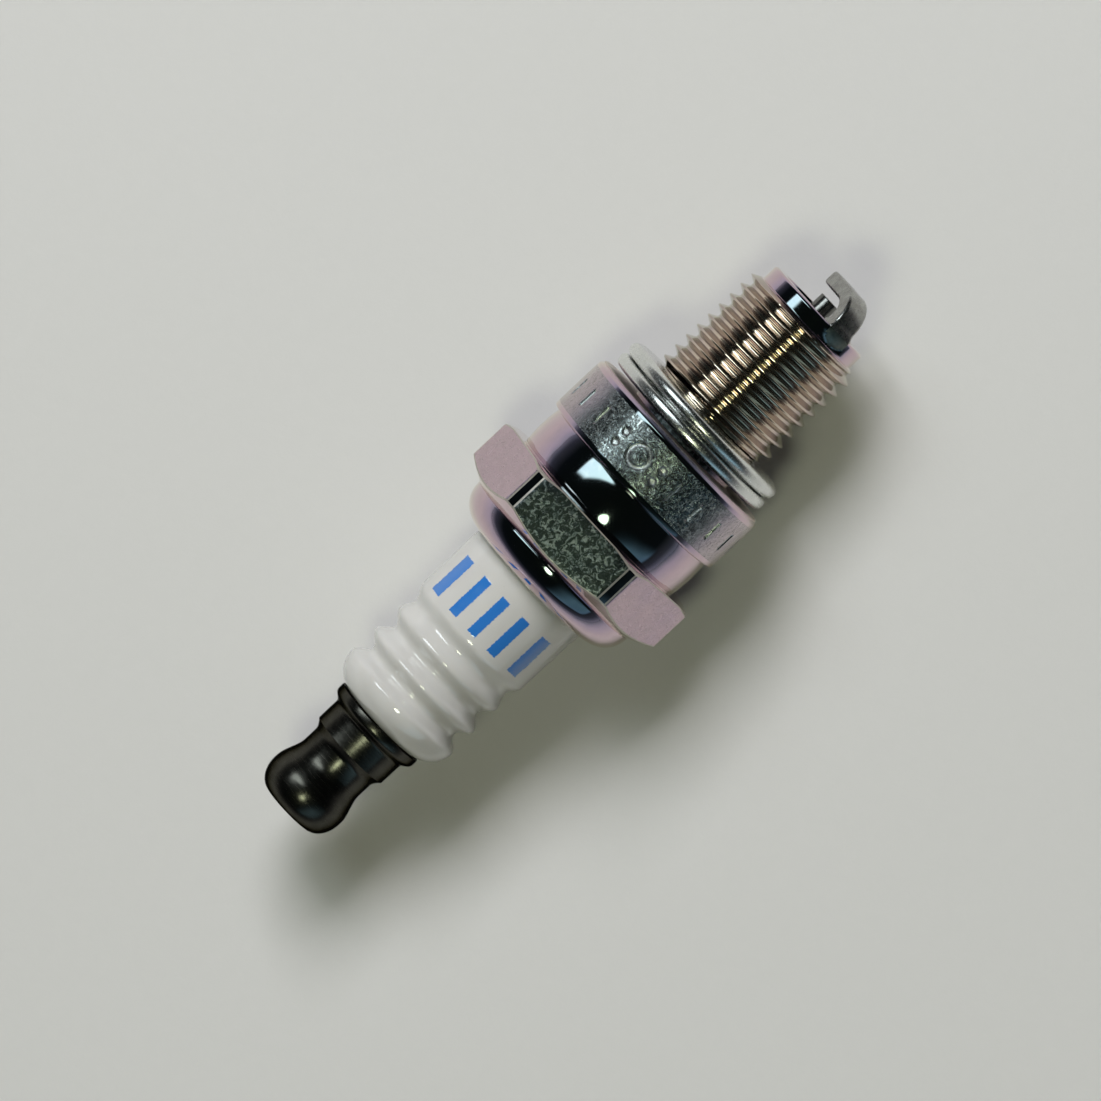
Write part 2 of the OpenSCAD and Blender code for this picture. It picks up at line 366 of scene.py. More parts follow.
CHROMATE_VIOLET = (
    (0.0, (0.15, 0.19, 0.19)),
    (0.16, (0.15, 0.18, 0.20)),
    (0.27, (0.22, 0.22, 0.32)),
    (0.36, (0.54, 0.43, 0.56)),
    (0.50, (0.67, 0.51, 0.57)),
    (0.66, (0.69, 0.54, 0.58)),
    (0.84, (0.74, 0.64, 0.56)),
    (1.0, (0.82, 0.75, 0.68)))
CHROMATE_GREY = (
    (0.0, (0.44, 0.50, 0.49)),
    (0.16, (0.40, 0.45, 0.45)),
    (0.27, (0.30, 0.33, 0.36)),
    (0.38, (0.42, 0.38, 0.44)),
    (0.50, (0.54, 0.47, 0.50)),
    (0.70, (0.60, 0.52, 0.54)),
    (1.0, (0.74, 0.68, 0.62)))
CHROMATE_BRONZE = (
    (0.0, (0.77, 0.68, 0.53)),
    (0.20, (0.74, 0.65, 0.51)),
    (0.50, (0.68, 0.57, 0.49)),
    (0.62, (0.48, 0.39, 0.37)),
    (0.76, (0.44, 0.37, 0.30)),
    (0.88, (0.45, 0.41, 0.28)),
    (1.0, (0.58, 0.52, 0.41)))


def plating(name, film, roughness, ripple=0.0, grain=0.0, scuff=0.0, dull=0.0):
    """Bright zinc under a clear chromate film.

    The film's tint depends on the slant it is seen at. Where dull is above 0, dull crystals show wherever the
    metal is seen almost straight on; on the recess plating their dark part is painted shade.
    """
    paint = Paint(name)
    layer = paint.node("ShaderNodeLayerWeight")
    layer.inputs["Blend"].default_value = 0.5
    slant = layer.outputs["Facing"]
    patches = paint.noise(0.35, 2.0)
    shifted = paint.math("ADD", slant, paint.stretch(patches, 0.3, 0.7, -0.03, 0.03))
    colour = paint.ramp(shifted, *film)
    stains = paint.noise(1.3, 4.0)
    colour = paint.mix(paint.stretch(stains, 0.45, 0.75, 0.0, 0.15), colour, (0.34, 0.33, 0.30))
    if dull:
        crystals = paint.noise(2.5, 5.0, 0.7, twist=1.2)
        straight = paint.stretch(slant, 0.40, 0.22)
        bright = paint.math("MULTIPLY", paint.stretch(crystals, 0.52, 0.64, 0.0, 0.34), straight)
        # Dark crystals: a pattern on the flats and the collar; on the recess plating they are painted shade
        dark = paint.math("MULTIPLY", paint.stretch(crystals, 0.57, 0.50, 0.0, dull), straight)
        colour = paint.mix(bright, colour, (0.50, 0.53, 0.50))
        colour = paint.mix(dark, colour, (0.018, 0.024, 0.022))
    fine = paint.noise(7.0, 3.0)
    paint.set(
        base_color=colour,
        metallic=1.0,
        roughness=paint.stretch(fine, 0.3, 0.7, roughness * 0.85, roughness * 1.2))
    if ripple:
        paint.bump(paint.noise(0.55, 1.0), ripple)
    if grain:
        paint.bump(paint.noise(9.0, 2.0, squeeze=(1, 0.25, 0.25)), grain)
    if scuff:
        paint.bump(paint.stretch(paint.noise(3.4, 4.0, 0.65, twist=0.8), 0.44, 0.56, smooth=True), scuff)
        paint.bump(paint.noise(1.1, 2.0), scuff * 1.5)
    return paint.material


def tinned_steel():
    """Bright strip with faint lines round the ring."""
    paint = Paint("tinned_steel")
    x, y, z = paint.parts(paint.here)
    r = paint.math("SQRT", paint.math("ADD", paint.math("MULTIPLY", y, y), paint.math("MULTIPLY", z, z)))
    where = paint.node("ShaderNodeCombineXYZ")
    paint.join(x, where.inputs[0])
    paint.join(r, where.inputs[1])
    lines = paint.noise(9.0, 3.0, where=where.outputs[0])
    blotch = paint.noise(1.1, 3.0)
    bright, dull = (0.78, 0.79, 0.77), (0.56, 0.57, 0.53)
    paint.set(
        base_color=paint.mix(paint.stretch(blotch, 0.4, 0.8, 0.0, 0.3), bright, dull),
        metallic=1.0,
        roughness=paint.stretch(paint.noise(5.0), 0.3, 0.7, 0.18, 0.30))
    paint.bump(lines, 0.008)
    return paint.material


def nickel(name, light, dark, roughness):
    """Satin nickel alloy with drawing lines."""
    paint = Paint(name)
    patches = paint.noise(1.6, 4.0)
    lines = paint.noise(7.0, 3.0, squeeze=(0.3, 1, 1))
    paint.set(
        base_color=paint.mix(paint.stretch(patches, 0.35, 0.7), light, dark),
        metallic=1.0,
        roughness=paint.stretch(lines, 0.3, 0.7, roughness * 0.8, roughness * 1.25))
    paint.bump(lines, 0.006)
    return paint.material


def dark_steel():
    """Terminal: dark oxide with a satin gloss and turning marks."""
    paint = Paint("dark_steel")
    patches = paint.noise(0.8, 4.0)
    marks = paint.noise(6.0, 3.0, squeeze=(1, 0.15, 0.15))
    rubbed = paint.noise(2.4, 5.0, 0.65)
    colour = paint.mix(paint.stretch(patches, 0.35, 0.7), (0.088, 0.085, 0.073), (0.060, 0.058, 0.050))
    paint.set(
        base_color=paint.mix(paint.stretch(rubbed, 0.60, 0.8, 0.0, 0.25), colour, (0.22, 0.21, 0.19)),
        metallic=1.0,
        specular_tint=(0.16, 0.16, 0.15),
        roughness=paint.stretch(marks, 0.3, 0.7, 0.20, 0.29))
    paint.bump(marks, 0.003)
    return paint.material


def glaze():
    """White glazed alumina with five plain printed bars; the nose beyond the seat is left unglazed."""
    paint = Paint("glaze")
    x, y, z = paint.parts(paint.here)
    along = paint.math("SUBTRACT", x, SEAT_X)
    bar_pitch, bar_half_w, bar_half_l = 1.85, 0.375, 1.65
    middle_x, print_half_w = -17.12, 4.4
    from_bar = paint.math("ABSOLUTE", paint.math("WRAP", y, bar_pitch / 2, -bar_pitch / 2))
    from_middle = paint.math("ABSOLUTE", paint.math("SUBTRACT", along, middle_x))
    across = paint.math("SUBTRACT", bar_half_w, from_bar)
    ends = paint.math("SUBTRACT", bar_half_l, from_middle)
    reach = paint.math("SUBTRACT", print_half_w, paint.math("ABSOLUTE", y))
    inside = paint.math("MINIMUM", paint.math("MINIMUM", across, ends), paint.math("MINIMUM", reach, z))
    ragged = paint.math("ADD", inside, paint.stretch(paint.noise(6.0, 2.0), 0.3, 0.7, -0.03, 0.03))
    ink = paint.stretch(ragged, -0.02, 0.04)
    warm = paint.noise(0.3, 2.0)
    white = paint.mix(paint.stretch(warm, 0.3, 0.7), (0.570, 0.558, 0.530), (0.535, 0.523, 0.495))
    specks = paint.stretch(paint.noise(2.2, 2.0), 0.74, 0.80, 0.0, 0.5)
    white = paint.mix(specks, white, (0.44, 0.41, 0.36))
    printed = paint.mix(paint.math("MULTIPLY", ink, 0.96), white, (0.004, 0.15, 0.50))
    bare = paint.stretch(along, 3.8, 4.4)
    fired = paint.mix(paint.noise(3.0), (0.74, 0.72, 0.68), (0.66, 0.64, 0.60))
    gloss = paint.stretch(paint.noise(1.5), 0, 1, 0.05, 0.09)
    paint.set(
        base_color=paint.mix(bare, printed, fired),
        roughness=paint.math("MAXIMUM", gloss, paint.stretch(bare, 0, 1, 0, 0.6)),
        ior=1.75,
        coat_weight=0.6,
        coat_roughness=0.04,
        subsurface_weight=0.12,
        subsurface_scale=0.6 * MM)
    paint.shader.inputs["Subsurface Radius"].default_value = (1.0, 0.8, 0.6)
    paint.bump(paint.noise(0.9, 2.0), 0.008)
    paint.bump(ink, 0.006)
    return paint.material


def powder(name, light, dark, scale, roughness, metallic=0.0):
    """A grainy surface: fired or pressed powder, stamped metal, or rubbed metal lightened as a painted edge
    highlight.
    """
    paint = Paint(name)
    grains = paint.noise(scale, 6.0, 0.7)
    paint.set(
        base_color=paint.mix(paint.stretch(grains, 0.3, 0.7), light, dark),
        metallic=metallic,
        roughness=paint.stretch(grains, 0.3, 0.7, roughness * 0.85, roughness))
    paint.bump(grains, 0.02)
    return paint.material


def wire(name, light, dark):
    """Drawn metal with fine lines."""
    paint = Paint(name)
    lines = paint.noise(6.0, 3.0, squeeze=(1, 0.3, 0.3))
    paint.set(
        base_color=paint.mix(paint.stretch(lines, 0.3, 0.7), light, dark),
        metallic=1.0,
        roughness=paint.stretch(lines, 0.3, 0.7, 0.25, 0.4))
    paint.bump(lines, 0.006)
    return paint.material


def table_top():
    """Pale matt board."""
    paint = Paint("table_top")
    wide = paint.noise(0.008, 2.0)
    fine = paint.noise(0.9, 5.0, 0.7)
    tone = paint.mix(paint.stretch(wide, 0.3, 0.7), (0.622, 0.612, 0.592), (0.608, 0.598, 0.577))
    paint.set(
        base_color=paint.mix(paint.stretch(fine, 0.3, 0.7, 0.0, 0.12), tone, (0.54, 0.54, 0.515)),
        roughness=0.55)
    paint.bump(fine, 0.02)
    return paint.material


# ---------------------------------------------------------------- metal shell

# The shell's material slots, and its columns round the axis
# The light edge slot is worn metal that also carries a painted edge highlight
SMOOTH, FLATS, COLLAR, THREAD, WEAR_AND_HIGHLIGHT, WELD, RECESS_PAINTED_SHADE, STAMP = range(8)
TURNED_COLUMNS, HEX_COLUMNS, COLLAR_COLUMNS, THREAD_COLUMNS, BORE_COLUMNS = 192, 384, 768, 128, 96
THREAD_END_X = 11.42


def hex_radius(angle):
    """Rounded hexagon with two flats square to Z, its corners turned down."""
    from_flat = (angle + math.pi / 6 - math.pi / 2) % (math.pi / 3) - math.pi / 6
    return smooth_min(HEX_APOTHEM / np.cos(from_flat), HEX_CORNER_R, 0.05)


def thread_radius(x, angle):
    """A 60 degree right-hand thread, which starts at the relief and runs out before the end ring."""
    from_crest = np.abs((x - FIRST_CREST_X - PITCH * angle / TURN + PITCH / 2) % PITCH - PITCH / 2)
    flank = CREST_R - (from_crest - PITCH / 16) / math.tan(math.radians(30))
    r = smooth_min(flank, CREST_R, 0.05)
    r = smooth_max(r, ROOT_R, 0.10)
    run_in = RELIEF_R + (x - 2.66) * 1.6
    run_out = ROOT_R + (THREAD_END_X - x) * 1.7
    r = smooth_min(r, run_in, 0.06)
    return smooth_max(smooth_min(r, run_out, 0.06), RELIEF_R, 0.03)


def lip_radius(x):
    """Outer radius of the crimped lip, which is flattest next to the hexagon."""
    flat_x = HEX_X + 0.15
    share = (flat_x - x) / (flat_x - LIP_X)
    return LIP_HOLE_R + (LIP_R - LIP_HOLE_R) * math.sqrt(1 - share ** 2.4)


def weld_height(x, across):
    """Height of the weld bead over the flat that the ground strap is welded to."""
    away = ((x - 12.5) / 0.78) ** 2 + (across / 1.05) ** 2
    return 0.16 * np.maximum(1 - away, 0) ** 0.7


def stamp_depth(x, angle):
    """Depth of the collar's stamps: ticks, with a plain ring between two pairs of dots in their gap."""
    away = np.degrees(angle) - 90
    to_arc = COLLAR_R * math.pi / 180
    full_depth, edge = 0.13, 0.07
    tick_x, half_l, half_w = -2.35, 0.62, 0.10
    first_tick, tick_pitch, ticks = 18.0, 16.9, 19
    ring_at, ring_size, ring_half_line = -7.0, 0.78, 0.13
    dots_at, dot_r, dots_half_pitch = (-21.0, 7.0), 0.26, 0.5

    def press(distance):
        return full_depth * (1 - smooth_step(-edge, edge, distance))

    def from_centre(centre):
        return ((away - centre + 180) % 360 - 180) * to_arc

    from_first = (away - first_tick) % 360
    nearest = np.clip(np.round(from_first / tick_pitch), 0, ticks - 1)
    across = (from_first - nearest * tick_pitch) * to_arc
    past_end = np.maximum(np.abs(x - tick_x) - half_l, 0)
    depth = press(np.hypot(across, past_end) - half_w)
    from_ring = np.hypot(x - tick_x, from_centre(ring_at)) - ring_size
    depth = np.maximum(depth, press(np.abs(from_ring) - ring_half_line))
    for centre in dots_at:
        from_dot = np.hypot(np.abs(x - tick_x) - dots_half_pitch, from_centre(centre))
        depth = np.maximum(depth, press(from_dot - dot_r))
    return depth


def crimped_lip(skin):
    """The lip from its hole to the hexagon; gives the ring at the hole and the last ring."""
    first = skin.ring(TURNED_COLUMNS, LIP_X + 0.12, LIP_HOLE_R)
    lip_end_x = HEX_X - 0.05
    turns = np.radians(np.linspace(4, 90, 30))
    points = [(x, lip_radius(x)) for x in lip_end_x - (lip_end_x - LIP_X) * np.cos(turns)]
    return first, skin.run(first, points, TURNED_COLUMNS)


def hexagon(skin, last):
    """Chamfer cone, flats and foot, with rings that follow their edges."""
    flat_r = hex_radius(np.arange(HEX_COLUMNS) * TURN / HEX_COLUMNS)
    cone_rise, soft = 0.577, 0.09
    cone = np.array([cone_rise, 1.0]) / math.hypot(cone_rise, 1.0)
    edge_x = HEX_X + 0.03 + (flat_r - 7.3) * cone_rise
    last = skin.run(last, [(HEX_X, LIP_R - 0.03)], HEX_COLUMNS)
    head = curve_through(
        (edge_x - soft * cone[0], flat_r - soft * cone[1]), (edge_x, flat_r), (edge_x + soft, flat_r), 5)
    last = skin.run(last, head[:1], HEX_COLUMNS)
    # The rounded edge from the chamfer to the flats: worn metal and a painted edge highlight
    skin.slot = WEAR_AND_HIGHLIGHT
    last = skin.run(last, head[1:], HEX_COLUMNS)

    cut_r, cut_slope = 8.3, 0.45
    foot_r = np.minimum(flat_r, cut_r) - 0.05
    foot_x = NECK_X - 0.05 - np.maximum(flat_r - cut_r, 0) * cut_slope
    foot_edge_x = foot_x - 0.05
    shares = (0.25, 0.5, 0.75, 1.0)
    flats = [((1 - t) * (edge_x + soft) + t * foot_edge_x, flat_r) for t in shares]
    last = skin.run(last, flats, HEX_COLUMNS)
    side = HEX_COLUMNS // 6
    # The columns on each side of a corner land are lightened: wear and a painted edge highlight
    land_columns, wear_and_highlight_columns = 2, 3
    from_corner = np.abs((np.arange(HEX_COLUMNS) + (side + 1) / 2) % side - side / 2)
    beside_land = np.where(from_corner < wear_and_highlight_columns, WEAR_AND_HIGHLIGHT, FLATS)
    skin.repaint(len(shares), np.where(from_corner < land_columns, SMOOTH, beside_land))

    # The edge from the flats to the foot: worn metal and a painted edge highlight
    skin.slot = WEAR_AND_HIGHLIGHT
    foot = curve_through((foot_edge_x, flat_r), (foot_x, flat_r),
                         ((foot_x + NECK_X) / 2, (flat_r + foot_r) / 2), 3)[1:]
    last = skin.run(last, foot, HEX_COLUMNS)
    skin.slot = SMOOTH
    level_x = np.full(HEX_COLUMNS, NECK_X)
    foot = curve_through((0.3 * foot_x + 0.7 * NECK_X, 0.3 * flat_r + 0.7 * foot_r),
                         (level_x, foot_r), (level_x, foot_r - 0.05), 3)
    return skin.run(last, foot, HEX_COLUMNS)


def thin_neck(skin, last):
    """The buckled neck, which bulges a little."""
    bulge = arc(((NECK_X + COLLAR_X) / 2, 7.0), (1.66, 0.22), -64, 64, 16)
    neck = outline((NECK_X, 7.5, 0), (NECK_X, 7.06, 0.1), (bulge[0][0], bulge[0][1], 0))
    last = skin.run(last, neck, TURNED_COLUMNS)
    last = skin.run(last, bulge[1:], TURNED_COLUMNS)
    step = outline((COLLAR_X - 0.14, 7.08, 0), (COLLAR_X, 7.09, 0.06), (COLLAR_X, 7.3, 0))
    return skin.run(last, step, TURNED_COLUMNS)


def stamped_collar(skin, last):
    """The collar with its stamps, and the recessed seat face's outer edge."""
    angle = np.arange(COLLAR_COLUMNS) * TURN / COLLAR_COLUMNS
    face_x, stamp_level = COLLAR_X + 0.4, 0.06
    edge = outline((COLLAR_X, 7.4, 0), (COLLAR_X, COLLAR_R, 0.12), (face_x, COLLAR_R, 0))
    last = skin.run(last, edge, COLLAR_COLUMNS)
    skin.slot = COLLAR
    stamp_rows = [-3.75] + list(np.linspace(-3.35, -1.35, 29)) + [-0.95]
    middle_angle = angle + math.pi / COLLAR_COLUMNS
    for before, x in zip([face_x] + stamp_rows, stamp_rows):
        last = skin.run(last, [(x, COLLAR_R - stamp_depth(x, angle))], COLLAR_COLUMNS)
        pressed = stamp_depth((before + x) / 2, middle_angle) > stamp_level
        skin.repaint(1, np.where(pressed, STAMP, COLLAR))
    last = skin.run(last, [(-0.56, COLLAR_R)], COLLAR_COLUMNS)
    skin.slot = SMOOTH
    chamfer = outline((-0.50, COLLAR_R, 0), (-0.3, COLLAR_R, 0.08), (-0.1, 7.375, 0))
    last = skin.run(last, chamfer, HEX_COLUMNS)
    # The collar's inner edge, the seat face and the relief: rough plating darkened as painted shade in the
    # gap by the gasket
    skin.slot = RECESS_PAINTED_SHADE
    return skin.run(last, outline((-0.08, 7.355, 0), (0, 7.275, 0.06), (0, 7.0, 0)), HEX_COLUMNS)


def thread_and_end(skin, last):
    """Seat face, relief, thread, and the end ring with the strap's weld bead."""
    columns = THREAD_COLUMNS
    last = skin.run(last, outline((0, 6.8, 0), (0, RELIEF_R, 0.06), (2.2, RELIEF_R, 0)), columns)
    skin.slot = THREAD
    last = skin.run(last, [(2.5, RELIEF_R)], columns)
    start, end = skin.helix(2.62, THREAD_END_X, columns, 32, thread_radius)
    skin.link(last, start)
    skin.slot = SMOOTH
    from_strap = (np.arange(columns) * TURN / columns - STRAP_ANGLE + math.pi) % TURN - math.pi
    flat = STRAP_OUT_R / np.maximum(np.cos(from_strap), 0.2)
    across = np.where(np.abs(from_strap) < 1, END_RING_R * np.sin(from_strap), END_RING_R)
    step = outline((11.46, ROOT_R - 0.02, 0), (11.52, END_RING_R, 0.04), (11.62, END_RING_R, 0))
    last = skin.run(end, step, columns)
    round_end = outline((12.45, END_RING_R, 0), (REACH - 0.14, END_RING_R, 0.1),
                        (REACH, END_RING_R - 0.16, 0.05), (REACH, END_RING_R - 0.4, 0))
    for x, r in [(x, END_RING_R) for x in np.linspace(11.65, 12.35, 9)] + round_end:
        bead = weld_height(x, across)
        cut = smooth_min(np.full(columns, r), flat, 0.03)
        last = skin.run(last, [(x, cut + bead)], columns)
        skin.repaint(1, np.where(bead > 0.002, WELD, SMOOTH))
    return last


def shell_hollow(skin, last):
    """The shell's inside, from the sparking end to the lip's hole."""
    bend_x = HEX_X - 0.4
    hollow = outline(
        (REACH, 3.5, 0), (REACH, 3.15, 0.08), (7.05, 3.15, 0.1), (6.65, 2.75, 0.1), (5.45, 2.75, 0.05),
        (4.85, 3.35, 0.05), (-1.0, 3.35, 0.1), (-2.6, 6.35, 0.1), (bend_x, 6.35, 0), steps=2)
    last = skin.run(last, hollow, BORE_COLUMNS)
    return skin.run(last, arc((bend_x, LIP_HOLE_R), (0.95, 1.25), 0, -90, 8)[1:], BORE_COLUMNS)


def metal_shell(materials):
    """One closed skin, whose slots follow the order of the materials."""
    skin = Skin()
    first, last = crimped_lip(skin)
    for stretch in (hexagon, thin_neck, stamped_collar, thread_and_end, shell_hollow):
        last = stretch(skin, last)
    skin.link(last, first)
    skin.build("shell", "plug", "metal_shell", materials)


# ---------------------------------------------------------------- other pieces

def gasket(material):
    """Folded strip: two lobes on the rim with the fold between them."""
    near, far, rim = 0.46, 2.52, 6.925
    fold_x = near + 0.47 * (far - near)
    hole = 4.75
    points = arc((near + 0.3, hole + 0.3), (0.3, 0.3), -180, -90, 6)
    points += arc((0.945, rim - 0.625), (0.485, 0.625), -90, 62, 24, power=0.72)
    points += [(fold_x - 0.035, rim - 0.62), (fold_x - 0.02, rim - 1.1), (fold_x + 0.02, rim - 1.1),
               (fold_x + 0.035, rim - 0.68)]
    points += arc((far - 0.545, rim - 0.82), (0.545, 0.82), -66, 90, 24, power=0.8)
    points += arc((far - 0.3, hole + 0.3), (0.3, 0.3), 90, 180, 6)
    skin = Skin()
    columns = 160
    first = skin.run(None, points[:1], columns)
    last = skin.run(first, points[1:], columns)
    skin.link(last, first)
    skin.build("crush_gasket", "gasket", "sealing_gasket", [material])


def rib_radius(x):
    """Outer radius of the insulator from its first rib's crest to the printed part."""
    turns = ((-25.70, 4.87), (-24.62, 4.02), (-23.55, 4.80), (-22.47, 4.04), (-21.40, 4.76), (-20.30, 4.38),
             (-19.15, 4.87))
    for (x0, r0), (x1, r1) in zip(turns, turns[1:]):
        if x <= x1:
            t = (x - x0) / (x1 - x0)
            return r0 + (r1 - r0) * (1 - math.cos(math.pi * t)) / 2
    return turns[-1][1]


def insulator(material):
    """Ribs, printed part, shoulders inside the shell, seat and nose, and the stepped bore."""
    skin = Skin()
    columns, bore_columns = 128, 64
    start = skin.ring(columns, INSULATOR_X, 2.3)
    last = skin.run(start, arc((-25.70, 2.89), (1.98, 1.98), -90, 0, 16), columns)
    last = skin.run(last, [(x, rib_radius(x)) for x in np.linspace(-25.62, -19.15, 78)], columns)
    last = skin.run(last, outline(
        (-18.9, 4.87, 0), (-14.6, 4.90, 0), (LIP_X, 4.91, 0), (-8.9, 4.94, 0.2), (-8.1, 6.25, 0.15),
        (-3.2, 6.25, 0.2), (-1.6, 3.2, 0.2), (4.3, 3.2, 0.1), (4.95, 2.55, 0.1), (11.8, 1.80, 0)), columns)
    last = skin.run(last, arc((11.8, 1.50), (0.3, 0.30), 0, 90, 6)[1:], columns)
    bore = outline(
        (12.1, 1.12, 0), (-1.37, 1.12, 0.05), (-2.0, 1.75, 0.05), (INSULATOR_X, 1.75, 0), steps=2)
    last = skin.run(last, bore, bore_columns)
    skin.link(last, start)
    skin.build("insulator_body", "plug", "insulator", [material])


def terminal(material):
    """Head, waist, base and flange, and the stud with its grip rings inside the insulator."""
    skin = Skin()
    head_x, land_x = -34.5, -34.35
    waist_x, waist_end_x, base_x, shoulder_x = -32.1, -31.2, -30.45, -28.72
    points = [(TERMINAL_X, 0.0), (TERMINAL_X, 0.9), (TERMINAL_X + 0.015, 1.5)]
    points += arc((head_x, 1.85), (head_x - TERMINAL_X, 1.30), -84, 0, 22)
    head_r, waist_r, base_r, flange_r, stud_r, groove_r = 3.15, 2.63, 3.05, 3.6, 1.62, 1.42
    for i in range(1, 25):
        t = i / 24
        fall = (head_r - waist_r) * (1 - math.cos(math.pi * t)) / 2
        points.append((land_x + (waist_x - land_x) * t, head_r - fall))
    for i in range(1, 9):
        t = i / 8
        rise = (base_r - waist_r) * (1 - math.cos(math.pi * t / 2))
        points.append((waist_end_x + (base_x - waist_end_x) * t, waist_r + rise))
    points += outline((base_x + 0.05, base_r, 0), (shoulder_x, base_r, 0.16),
                      (shoulder_x + 0.42, flange_r, 0.22), (INSULATOR_X, flange_r, 0.08),
                      (INSULATOR_X, stud_r, 0.02), (-16.0, stud_r, 0))
    grips, grip_pitch, grip_end_x = 3, 0.8, -13.4
    for i in range(grips):
        x = grip_end_x - (grips - i) * grip_pitch
        points += [(x, stud_r), (x + 0.4, stud_r), (x + 0.55, groove_r), (x + 0.7, groove_r)]
    points += [(grip_end_x, groove_r), (-13.0, 1.0), (-13.0, 0.0)]
    skin.run(None, points, 128)
    skin.build("terminal_stud", "plug", "terminal_post", [material])


def centre_electrode(material):
    """Nickel rod with a head, a stepped tip and a blind bore for its copper core."""
    skin = Skin()
    columns, bore_r = 64, 0.55
    points = outline(
        (-2.9, bore_r, 0), (-2.9, 1.55, 0.05), (-1.85, 1.55, 0.05), (-1.35, 1.05, 0.05), (11.7, 1.05, 0.08),
        (12.2, 0.75, 0.08), (TIP_X, 0.75, 0.07), (TIP_X, 0.3, 0), (TIP_X, 0.0, 0))
    first = skin.run(None, points[:1], columns)
    skin.run(first, points[1:], columns)
    bore_end_x = 10.8
    bore_end = skin.pole(bore_end_x)
    bore = skin.ring(columns, bore_end_x, bore_r)
    skin.link(bore_end, bore)
    skin.link(bore, first)
    skin.build("centre_rod", "plug", "center_electrode", [material])


def ground_strap(material):
    """A flat bar welded to the end ring and bent over the centre electrode."""
    bend_inner = 1.2
    end_round = 0.14
    leg_r = STRAP_OUT_R - STRAP_T / 2
    mid_bend = bend_inner + STRAP_T / 2
    bend_x = STRAP_X - bend_inner
    bend_end_r = leg_r - mid_bend
    middle_x = STRAP_X + STRAP_T / 2
    end_r = -0.9
    start_x = REACH - 0.02

    # Stations along the bar: x, r, how far it has turned, and how much its tip is rounded off
    stations = [(x, leg_r, 0.0, 0.0) for x in np.linspace(start_x, bend_x, 12)[:-1]]
    for t in np.radians(np.linspace(0, 90, 21)):
        stations.append((bend_x + mid_bend * math.sin(t), bend_end_r + mid_bend * math.cos(t), t, 0.0))
    for r in np.linspace(bend_end_r, end_r + end_round, 9)[1:]:
        stations.append((middle_x, r, math.pi / 2, 0.0))
    for t in np.radians(np.linspace(18, 90, 5)):
        r = end_r + end_round * (1 - math.sin(t))
        stations.append((middle_x, r, math.pi / 2, end_round * (1 - math.cos(t))))

    skin = Skin()
    outward = np.array([0.0, math.cos(STRAP_ANGLE), math.sin(STRAP_ANGLE)])
    across = np.array([0.0, math.sin(STRAP_ANGLE), -math.cos(STRAP_ANGLE)])
    ahead = np.array([1.0, 0.0, 0.0])
    last = skin.add_points([placed(*(ahead * start_x + outward * leg_r))])
    for x, r, turn, shrink in stations:
        weld = 1 - smooth_step(REACH, REACH + 0.38, x) if turn == 0 else 0.0
        bead = float(weld_height(x, 0.0)) if turn == 0 else 0.0
        half_t = STRAP_T / 2 - shrink
        half_w = STRAP_W / 2 - shrink
        rounding = 0.24 - 0.4 * shrink
        normal = outward * math.cos(turn) + ahead * math.sin(turn)
        ring = []
        for quarter, (side, face) in enumerate(((1, 1), (-1, 1), (-1, -1), (1, -1))):
            for t in np.radians(90 * quarter + np.linspace(0, 90, 6)):
                u = (math.cos(t) * rounding + (half_w - rounding) * side) * (1 + 0.16 * weld)
                v = math.sin(t) * rounding + (half_t - rounding) * face
                v += bead if v > 0 else 0.25 * weld * v
                ring.append(placed(*(ahead * x + outward * r + across * u + normal * v)))
        new = skin.add_points(ring)
        skin.link(last, new)
        last = new
    tip = skin.add_points([placed(*(ahead * middle_x + outward * end_r))])
    skin.link(last, tip)
    skin.build("ground_strap", "plug", "ground_electrode", [material])


def dress(node, material):
    """Gives a CAD node that is shown as it is its material."""
    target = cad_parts[node]
    target.data.materials.clear()
    target.data.materials.append(material)


# ---------------------------------------------------------------- room

def soft_light(name, azimuth, lean, distance, size, power, colour):
    """A light aimed at the plug and not seen in reflections.

    It leans from straight up, towards an azimuth that turns from +Y to +X; both are in degrees.
    """
    data = bpy.data.lights.new(name, "AREA")
    data.shape = "RECTANGLE"
    data.size, data.size_y = size
    data.energy = power
    data.color = colour
    lamp = bpy.data.objects.new(name, data)
    a, b = math.radians(azimuth), math.radians(lean)
    direction = Vector((math.sin(b) * math.sin(a), math.sin(b) * math.cos(a), math.cos(b)))
    target = Vector(placed(-8, 0, 0))
    lamp.location = target + direction * distance
    side = Vector((1, 0, 0))
    up = direction.cross(side).normalized()
    side = up.cross(direction).normalized()
    lamp.rotation_mode = "QUATERNION"
    lamp.rotation_quaternion = Matrix((side, up, direction)).transposed().to_quaternion()
    lamp.visible_camera = False
    lamp.visible_glossy = False
    bpy.context.scene.collection.objects.link(lamp)


def make_camera():
    """A long lens almost straight above the plug, turned so that the plug lies across the picture."""
    target = Vector(placed(-11.44, 0.594, 0))
    lean_x, lean_y, distance = math.radians(4.3), math.radians(-1.9), 0.55
    away = Vector((math.sin(lean_x), math.sin(lean_y), 1)).normalized()
    picture_up = (0.6833, 0.7302, 0)
    up = Vector(picture_up)
    right = up.cross(away).normalized()
    up = away.cross(right).normalized()
    data = bpy.data.cameras.new("camera")
    data.sensor_width = 36
    data.lens = 268.3
    data.clip_start = 0.01
    data.clip_end = 10
    camera = bpy.data.objects.new("camera", data)
    camera.location = target + away * distance
    camera.rotation_mode = "QUATERNION"
    camera.rotation_quaternion = Matrix((right, up, away)).transposed().to_quaternion()
    bpy.context.scene.collection.objects.link(camera)
    bpy.context.scene.camera = camera


